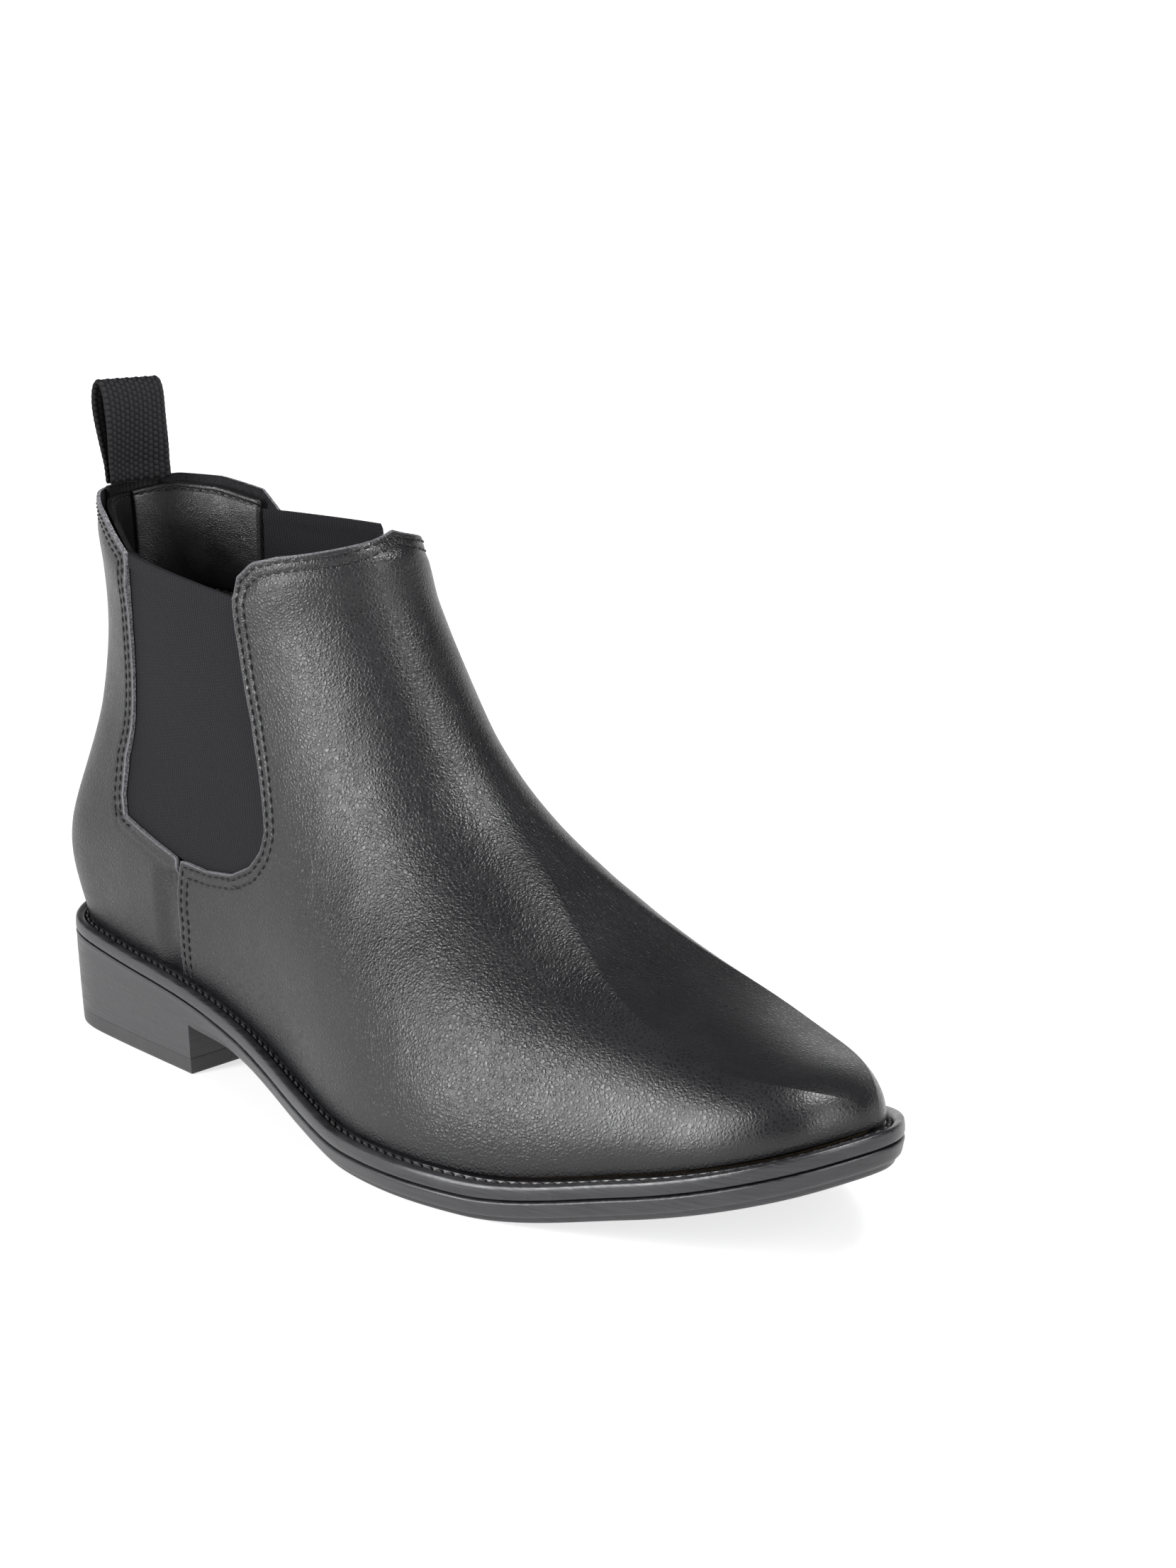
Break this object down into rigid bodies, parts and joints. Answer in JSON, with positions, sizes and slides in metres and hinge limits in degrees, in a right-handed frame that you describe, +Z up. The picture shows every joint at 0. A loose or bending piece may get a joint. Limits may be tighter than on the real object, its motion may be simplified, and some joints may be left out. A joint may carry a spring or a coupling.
{
  "type": "chelsea boot",
  "caption": "Ankle-high elastic-gusset boot with a one-piece vamp, back quarter, padded collar, rear webbing loop, stitched welt, rubber sole and stacked heel.",
  "frame": {"origin": "on the ground under the middle of the bounding box", "axes": "+X from the heel to the toe, +Y to the inner (medial) side, +Z up; a right boot"},
  "size_m": [0.3007, 0.1027, 0.1938],
  "materials": {
    "upper_leather": "fine pebble grain, satin black",
    "elastic": "fine woven ribbed elastic, matt charcoal",
    "webbing": "woven nylon webbing, matt black",
    "textile_lining": "plain woven lining, matt",
    "collar_lining": "smooth semi-gloss lining leather, padded",
    "collar_foam": "open-cell foam",
    "stiffener": "resin-stiffened nonwoven board",
    "insole_board": "cellulose insole board",
    "sock_liner": "black cloth over thin foam",
    "heel_cushion": "soft foam rubber",
    "cork_filler": "granular cork",
    "shank_steel": "rolled spring steel",
    "rivet": "plain",
    "heel_nail": "drawn wire",
    "welt_strip": "burnished edge, dyed black",
    "welt_thread": "waxed black thread",
    "sole_rubber": "moulded, satin sides",
    "heel_stack": "stacked lifts, dyed black",
    "top_piece_rubber": "moulded, matt"
  },
  "bodies": {
    "boot": {"vamp": "upper_leather", "back_quarter": "upper_leather", "gore_lateral": "elastic", "gore_medial": "elastic", "pull_loop_tail": "webbing", "vamp_lining": "textile_lining", "heel_lining": "textile_lining", "collar_lining_lateral": "collar_lining", "collar_lining_medial": "collar_lining", "collar_padding_lateral": "collar_foam", "collar_padding_medial": "collar_foam", "toe_puff": "stiffener", "heel_counter": "stiffener", "insole_board": "insole_board", "sock_liner": "sock_liner", "heel_cushion": "heel_cushion", "bottom_filler": "cork_filler", "shank": "shank_steel", "shank_rivet_rear": "rivet", "shank_rivet_front": "rivet", "heel_nail_1": "heel_nail", "heel_nail_2": "heel_nail", "heel_nail_3": "heel_nail", "heel_nail_4": "heel_nail", "heel_nail_5": "heel_nail", "welt": "welt_strip", "welt_thread": "welt_thread", "outsole": "sole_rubber", "heel_block": "heel_stack", "heel_top_piece": "top_piece_rubber"},
    "pull_loop": {"pull_loop": "webbing"}
  },
  "joints": [
    {"name": "pull_loop_hinge", "type": "hinge", "parent": "boot", "child": "pull_loop", "pos_m": [-0.13565, 0.00375, 0.1638], "axis": [0, 1, 0], "range_deg": [-75, 60], "stiffness_Nm_per_rad": 0.02}
  ]
}
